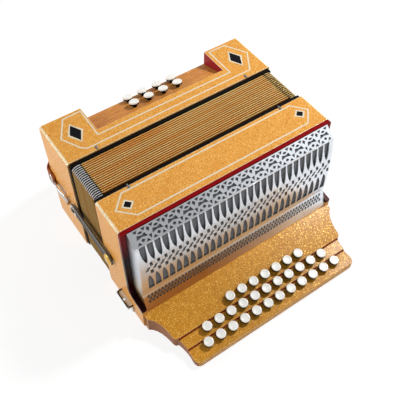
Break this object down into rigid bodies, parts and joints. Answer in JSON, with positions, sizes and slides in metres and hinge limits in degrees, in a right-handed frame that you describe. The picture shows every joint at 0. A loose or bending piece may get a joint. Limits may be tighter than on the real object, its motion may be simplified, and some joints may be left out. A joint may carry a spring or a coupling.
{
  "type": "diatonic button accordion",
  "caption": "Button accordion: treble end with stepped button board and pierced metal grille, pleated bellows that draw open, and bass end with a recess of buttons and a hand strap.",
  "frame": {"origin": "middle of the surface the instrument lies on, back down, bellows closed", "axes": "+X along the boxes towards the lower end, +Y from the treble end to the bass end (the way the bellows open), +Z from the back up to the front"},
  "size_m": [0.326, 0.3474, 0.1729],
  "materials": {
    "case": "thin wood covered in golden glitter celluloid, polished",
    "cover": "thin wood covered in golden glitter celluloid",
    "red_edging": "dark red lacquer, glossy",
    "grille": "bright pressed sheet",
    "grille_cloth": "dark gauze",
    "fingerboard": "wood covered in golden glitter celluloid, brown edges",
    "inner_wood": "bare",
    "frame": "black lacquer",
    "bellows": "gold-brown cloth on card",
    "panel": "varnished",
    "hand_strap": "brown, smooth",
    "strap_leather": "dark grey, with a brass press stud",
    "nickel": "nickel plated",
    "brass": "polished",
    "button": "white pearl"
  },
  "bodies": {
    "treble_end": {"treble_case": "case", "treble_edge_band": "red_edging", "treble_grille": "grille", "grille_cloth": "grille_cloth", "fingerboard": "fingerboard", "treble_soundboard": "inner_wood", "treble_reed_block": "inner_wood", "bellows_frame_treble": "frame", "bellows": "bellows", "strap_stud_left": "brass", "strap_stud_right": "brass", "strap_bracket_left": "nickel", "strap_bracket_right": "nickel"},
    "bass_end": {"bass_case": "case", "bass_cover": "cover", "bass_button_panel": "panel", "bass_reed_block": "inner_wood", "bellows_frame_bass": "frame", "hand_strap": "hand_strap"},
    "air_key": {"air_key": "nickel"},
    "bellows_strap_left": {"bellows_strap_left": "strap_leather"},
    "bellows_strap_right": {"bellows_strap_right": "strap_leather"},
    "treble_button_outer_1": {"treble_button_outer_1": "button"},
    "treble_button_outer_2": {"treble_button_outer_2": "button"},
    "treble_button_outer_3": {"treble_button_outer_3": "button"},
    "treble_button_outer_4": {"treble_button_outer_4": "button"},
    "treble_button_outer_5": {"treble_button_outer_5": "button"},
    "treble_button_outer_6": {"treble_button_outer_6": "button"},
    "treble_button_outer_7": {"treble_button_outer_7": "button"},
    "treble_button_outer_8": {"treble_button_outer_8": "button"},
    "treble_button_outer_9": {"treble_button_outer_9": "button"},
    "treble_button_outer_10": {"treble_button_outer_10": "button"},
    "treble_button_outer_11": {"treble_button_outer_11": "button"},
    "treble_button_outer_12": {"treble_button_outer_12": "button"},
    "treble_button_middle_1": {"treble_button_middle_1": "button"},
    "treble_button_middle_2": {"treble_button_middle_2": "button"},
    "treble_button_middle_3": {"treble_button_middle_3": "button"},
    "treble_button_middle_4": {"treble_button_middle_4": "button"},
    "treble_button_middle_5": {"treble_button_middle_5": "button"},
    "treble_button_middle_6": {"treble_button_middle_6": "button"},
    "treble_button_middle_7": {"treble_button_middle_7": "button"},
    "treble_button_middle_8": {"treble_button_middle_8": "button"},
    "treble_button_middle_9": {"treble_button_middle_9": "button"},
    "treble_button_middle_10": {"treble_button_middle_10": "button"},
    "treble_button_middle_11": {"treble_button_middle_11": "button"},
    "treble_button_inner_1": {"treble_button_inner_1": "button"},
    "treble_button_inner_2": {"treble_button_inner_2": "button"},
    "treble_button_inner_3": {"treble_button_inner_3": "button"},
    "treble_button_inner_4": {"treble_button_inner_4": "button"},
    "treble_button_inner_5": {"treble_button_inner_5": "button"},
    "treble_button_inner_6": {"treble_button_inner_6": "button"},
    "treble_button_inner_7": {"treble_button_inner_7": "button"},
    "bass_button_inner_1": {"bass_button_inner_1": "button"},
    "bass_button_inner_2": {"bass_button_inner_2": "button"},
    "bass_button_inner_3": {"bass_button_inner_3": "button"},
    "bass_button_inner_4": {"bass_button_inner_4": "button"},
    "bass_button_outer_1": {"bass_button_outer_1": "button"},
    "bass_button_outer_2": {"bass_button_outer_2": "button"},
    "bass_button_outer_3": {"bass_button_outer_3": "button"},
    "bass_button_outer_4": {"bass_button_outer_4": "button"}
  },
  "joints": [
    {"name": "bellows_draw", "type": "slide", "parent": "treble_end", "child": "bass_end", "axis": [0, 1, 0], "range_m": [0, 0.28], "deforming": ["bellows"]},
    {"name": "bellows_strap_left_swing", "type": "hinge", "parent": "bass_end", "child": "bellows_strap_left", "pos_m": [-0.1569, 0.08165, 0.078], "axis": [0, 0, -1], "range_deg": [0, 95]},
    {"name": "bellows_strap_right_swing", "type": "hinge", "parent": "bass_end", "child": "bellows_strap_right", "pos_m": [0.1569, 0.08165, 0.078], "axis": [0, 0, 1], "range_deg": [0, 95]},
    {"name": "air_key_press", "type": "hinge", "parent": "bass_end", "child": "air_key", "pos_m": [-0.1584, 0.09265, 0.078], "axis": [0, 0, -1], "range_deg": [0, 3.5], "stiffness_Nm_per_rad": 0.8, "springref_deg": -1.72},
    {"name": "bass_button_inner_1_press", "type": "slide", "parent": "bass_end", "child": "bass_button_inner_1", "axis": [0, -0.2756, -0.9613], "range_m": [0, 0.003], "stiffness_N_per_m": 250, "springref_m": -0.001},
    {"name": "bass_button_inner_2_press", "type": "slide", "parent": "bass_end", "child": "bass_button_inner_2", "axis": [0, -0.2756, -0.9613], "range_m": [0, 0.003], "stiffness_N_per_m": 250, "springref_m": -0.001},
    {"name": "bass_button_inner_3_press", "type": "slide", "parent": "bass_end", "child": "bass_button_inner_3", "axis": [0, -0.2756, -0.9613], "range_m": [0, 0.003], "stiffness_N_per_m": 250, "springref_m": -0.001},
    {"name": "bass_button_inner_4_press", "type": "slide", "parent": "bass_end", "child": "bass_button_inner_4", "axis": [0, -0.2756, -0.9613], "range_m": [0, 0.003], "stiffness_N_per_m": 250, "springref_m": -0.001},
    {"name": "bass_button_outer_1_press", "type": "slide", "parent": "bass_end", "child": "bass_button_outer_1", "axis": [0, -0.2756, -0.9613], "range_m": [0, 0.003], "stiffness_N_per_m": 250, "springref_m": -0.001},
    {"name": "bass_button_outer_2_press", "type": "slide", "parent": "bass_end", "child": "bass_button_outer_2", "axis": [0, -0.2756, -0.9613], "range_m": [0, 0.003], "stiffness_N_per_m": 250, "springref_m": -0.001},
    {"name": "bass_button_outer_3_press", "type": "slide", "parent": "bass_end", "child": "bass_button_outer_3", "axis": [0, -0.2756, -0.9613], "range_m": [0, 0.003], "stiffness_N_per_m": 250, "springref_m": -0.001},
    {"name": "bass_button_outer_4_press", "type": "slide", "parent": "bass_end", "child": "bass_button_outer_4", "axis": [0, -0.2756, -0.9613], "range_m": [0, 0.003], "stiffness_N_per_m": 250, "springref_m": -0.001},
    {"name": "treble_button_outer_1_press", "type": "slide", "parent": "treble_end", "child": "treble_button_outer_1", "axis": [0, 0.1392, -0.9903], "range_m": [0, 0.003], "stiffness_N_per_m": 250, "springref_m": -0.001},
    {"name": "treble_button_outer_2_press", "type": "slide", "parent": "treble_end", "child": "treble_button_outer_2", "axis": [0, 0.1392, -0.9903], "range_m": [0, 0.003], "stiffness_N_per_m": 250, "springref_m": -0.001},
    {"name": "treble_button_outer_3_press", "type": "slide", "parent": "treble_end", "child": "treble_button_outer_3", "axis": [0, 0.1392, -0.9903], "range_m": [0, 0.003], "stiffness_N_per_m": 250, "springref_m": -0.001},
    {"name": "treble_button_outer_4_press", "type": "slide", "parent": "treble_end", "child": "treble_button_outer_4", "axis": [0, 0.1392, -0.9903], "range_m": [0, 0.003], "stiffness_N_per_m": 250, "springref_m": -0.001},
    {"name": "treble_button_outer_5_press", "type": "slide", "parent": "treble_end", "child": "treble_button_outer_5", "axis": [0, 0.1392, -0.9903], "range_m": [0, 0.003], "stiffness_N_per_m": 250, "springref_m": -0.001},
    {"name": "treble_button_outer_6_press", "type": "slide", "parent": "treble_end", "child": "treble_button_outer_6", "axis": [0, 0.1392, -0.9903], "range_m": [0, 0.003], "stiffness_N_per_m": 250, "springref_m": -0.001},
    {"name": "treble_button_outer_7_press", "type": "slide", "parent": "treble_end", "child": "treble_button_outer_7", "axis": [0, 0.1392, -0.9903], "range_m": [0, 0.003], "stiffness_N_per_m": 250, "springref_m": -0.001},
    {"name": "treble_button_outer_8_press", "type": "slide", "parent": "treble_end", "child": "treble_button_outer_8", "axis": [0, 0.1392, -0.9903], "range_m": [0, 0.003], "stiffness_N_per_m": 250, "springref_m": -0.001},
    {"name": "treble_button_outer_9_press", "type": "slide", "parent": "treble_end", "child": "treble_button_outer_9", "axis": [0, 0.1392, -0.9903], "range_m": [0, 0.003], "stiffness_N_per_m": 250, "springref_m": -0.001},
    {"name": "treble_button_outer_10_press", "type": "slide", "parent": "treble_end", "child": "treble_button_outer_10", "axis": [0, 0.1392, -0.9903], "range_m": [0, 0.003], "stiffness_N_per_m": 250, "springref_m": -0.001},
    {"name": "treble_button_outer_11_press", "type": "slide", "parent": "treble_end", "child": "treble_button_outer_11", "axis": [0, 0.1392, -0.9903], "range_m": [0, 0.003], "stiffness_N_per_m": 250, "springref_m": -0.001},
    {"name": "treble_button_outer_12_press", "type": "slide", "parent": "treble_end", "child": "treble_button_outer_12", "axis": [0, 0.1392, -0.9903], "range_m": [0, 0.003], "stiffness_N_per_m": 250, "springref_m": -0.001},
    {"name": "treble_button_middle_1_press", "type": "slide", "parent": "treble_end", "child": "treble_button_middle_1", "axis": [0, 0.1392, -0.9903], "range_m": [0, 0.003], "stiffness_N_per_m": 250, "springref_m": -0.001},
    {"name": "treble_button_middle_2_press", "type": "slide", "parent": "treble_end", "child": "treble_button_middle_2", "axis": [0, 0.1392, -0.9903], "range_m": [0, 0.003], "stiffness_N_per_m": 250, "springref_m": -0.001},
    {"name": "treble_button_middle_3_press", "type": "slide", "parent": "treble_end", "child": "treble_button_middle_3", "axis": [0, 0.1392, -0.9903], "range_m": [0, 0.003], "stiffness_N_per_m": 250, "springref_m": -0.001},
    {"name": "treble_button_middle_4_press", "type": "slide", "parent": "treble_end", "child": "treble_button_middle_4", "axis": [0, 0.1392, -0.9903], "range_m": [0, 0.003], "stiffness_N_per_m": 250, "springref_m": -0.001},
    {"name": "treble_button_middle_5_press", "type": "slide", "parent": "treble_end", "child": "treble_button_middle_5", "axis": [0, 0.1392, -0.9903], "range_m": [0, 0.003], "stiffness_N_per_m": 250, "springref_m": -0.001},
    {"name": "treble_button_middle_6_press", "type": "slide", "parent": "treble_end", "child": "treble_button_middle_6", "axis": [0, 0.1392, -0.9903], "range_m": [0, 0.003], "stiffness_N_per_m": 250, "springref_m": -0.001},
    {"name": "treble_button_middle_7_press", "type": "slide", "parent": "treble_end", "child": "treble_button_middle_7", "axis": [0, 0.1392, -0.9903], "range_m": [0, 0.003], "stiffness_N_per_m": 250, "springref_m": -0.001},
    {"name": "treble_button_middle_8_press", "type": "slide", "parent": "treble_end", "child": "treble_button_middle_8", "axis": [0, 0.1392, -0.9903], "range_m": [0, 0.003], "stiffness_N_per_m": 250, "springref_m": -0.001},
    {"name": "treble_button_middle_9_press", "type": "slide", "parent": "treble_end", "child": "treble_button_middle_9", "axis": [0, 0.1392, -0.9903], "range_m": [0, 0.003], "stiffness_N_per_m": 250, "springref_m": -0.001},
    {"name": "treble_button_middle_10_press", "type": "slide", "parent": "treble_end", "child": "treble_button_middle_10", "axis": [0, 0.1392, -0.9903], "range_m": [0, 0.003], "stiffness_N_per_m": 250, "springref_m": -0.001},
    {"name": "treble_button_middle_11_press", "type": "slide", "parent": "treble_end", "child": "treble_button_middle_11", "axis": [0, 0.1392, -0.9903], "range_m": [0, 0.003], "stiffness_N_per_m": 250, "springref_m": -0.001},
    {"name": "treble_button_inner_1_press", "type": "slide", "parent": "treble_end", "child": "treble_button_inner_1", "axis": [0, 0.1392, -0.9903], "range_m": [0, 0.003], "stiffness_N_per_m": 250, "springref_m": -0.001},
    {"name": "treble_button_inner_2_press", "type": "slide", "parent": "treble_end", "child": "treble_button_inner_2", "axis": [0, 0.1392, -0.9903], "range_m": [0, 0.003], "stiffness_N_per_m": 250, "springref_m": -0.001},
    {"name": "treble_button_inner_3_press", "type": "slide", "parent": "treble_end", "child": "treble_button_inner_3", "axis": [0, 0.1392, -0.9903], "range_m": [0, 0.003], "stiffness_N_per_m": 250, "springref_m": -0.001},
    {"name": "treble_button_inner_4_press", "type": "slide", "parent": "treble_end", "child": "treble_button_inner_4", "axis": [0, 0.1392, -0.9903], "range_m": [0, 0.003], "stiffness_N_per_m": 250, "springref_m": -0.001},
    {"name": "treble_button_inner_5_press", "type": "slide", "parent": "treble_end", "child": "treble_button_inner_5", "axis": [0, 0.1392, -0.9903], "range_m": [0, 0.003], "stiffness_N_per_m": 250, "springref_m": -0.001},
    {"name": "treble_button_inner_6_press", "type": "slide", "parent": "treble_end", "child": "treble_button_inner_6", "axis": [0, 0.1392, -0.9903], "range_m": [0, 0.003], "stiffness_N_per_m": 250, "springref_m": -0.001},
    {"name": "treble_button_inner_7_press", "type": "slide", "parent": "treble_end", "child": "treble_button_inner_7", "axis": [0, 0.1392, -0.9903], "range_m": [0, 0.003], "stiffness_N_per_m": 250, "springref_m": -0.001}
  ]
}
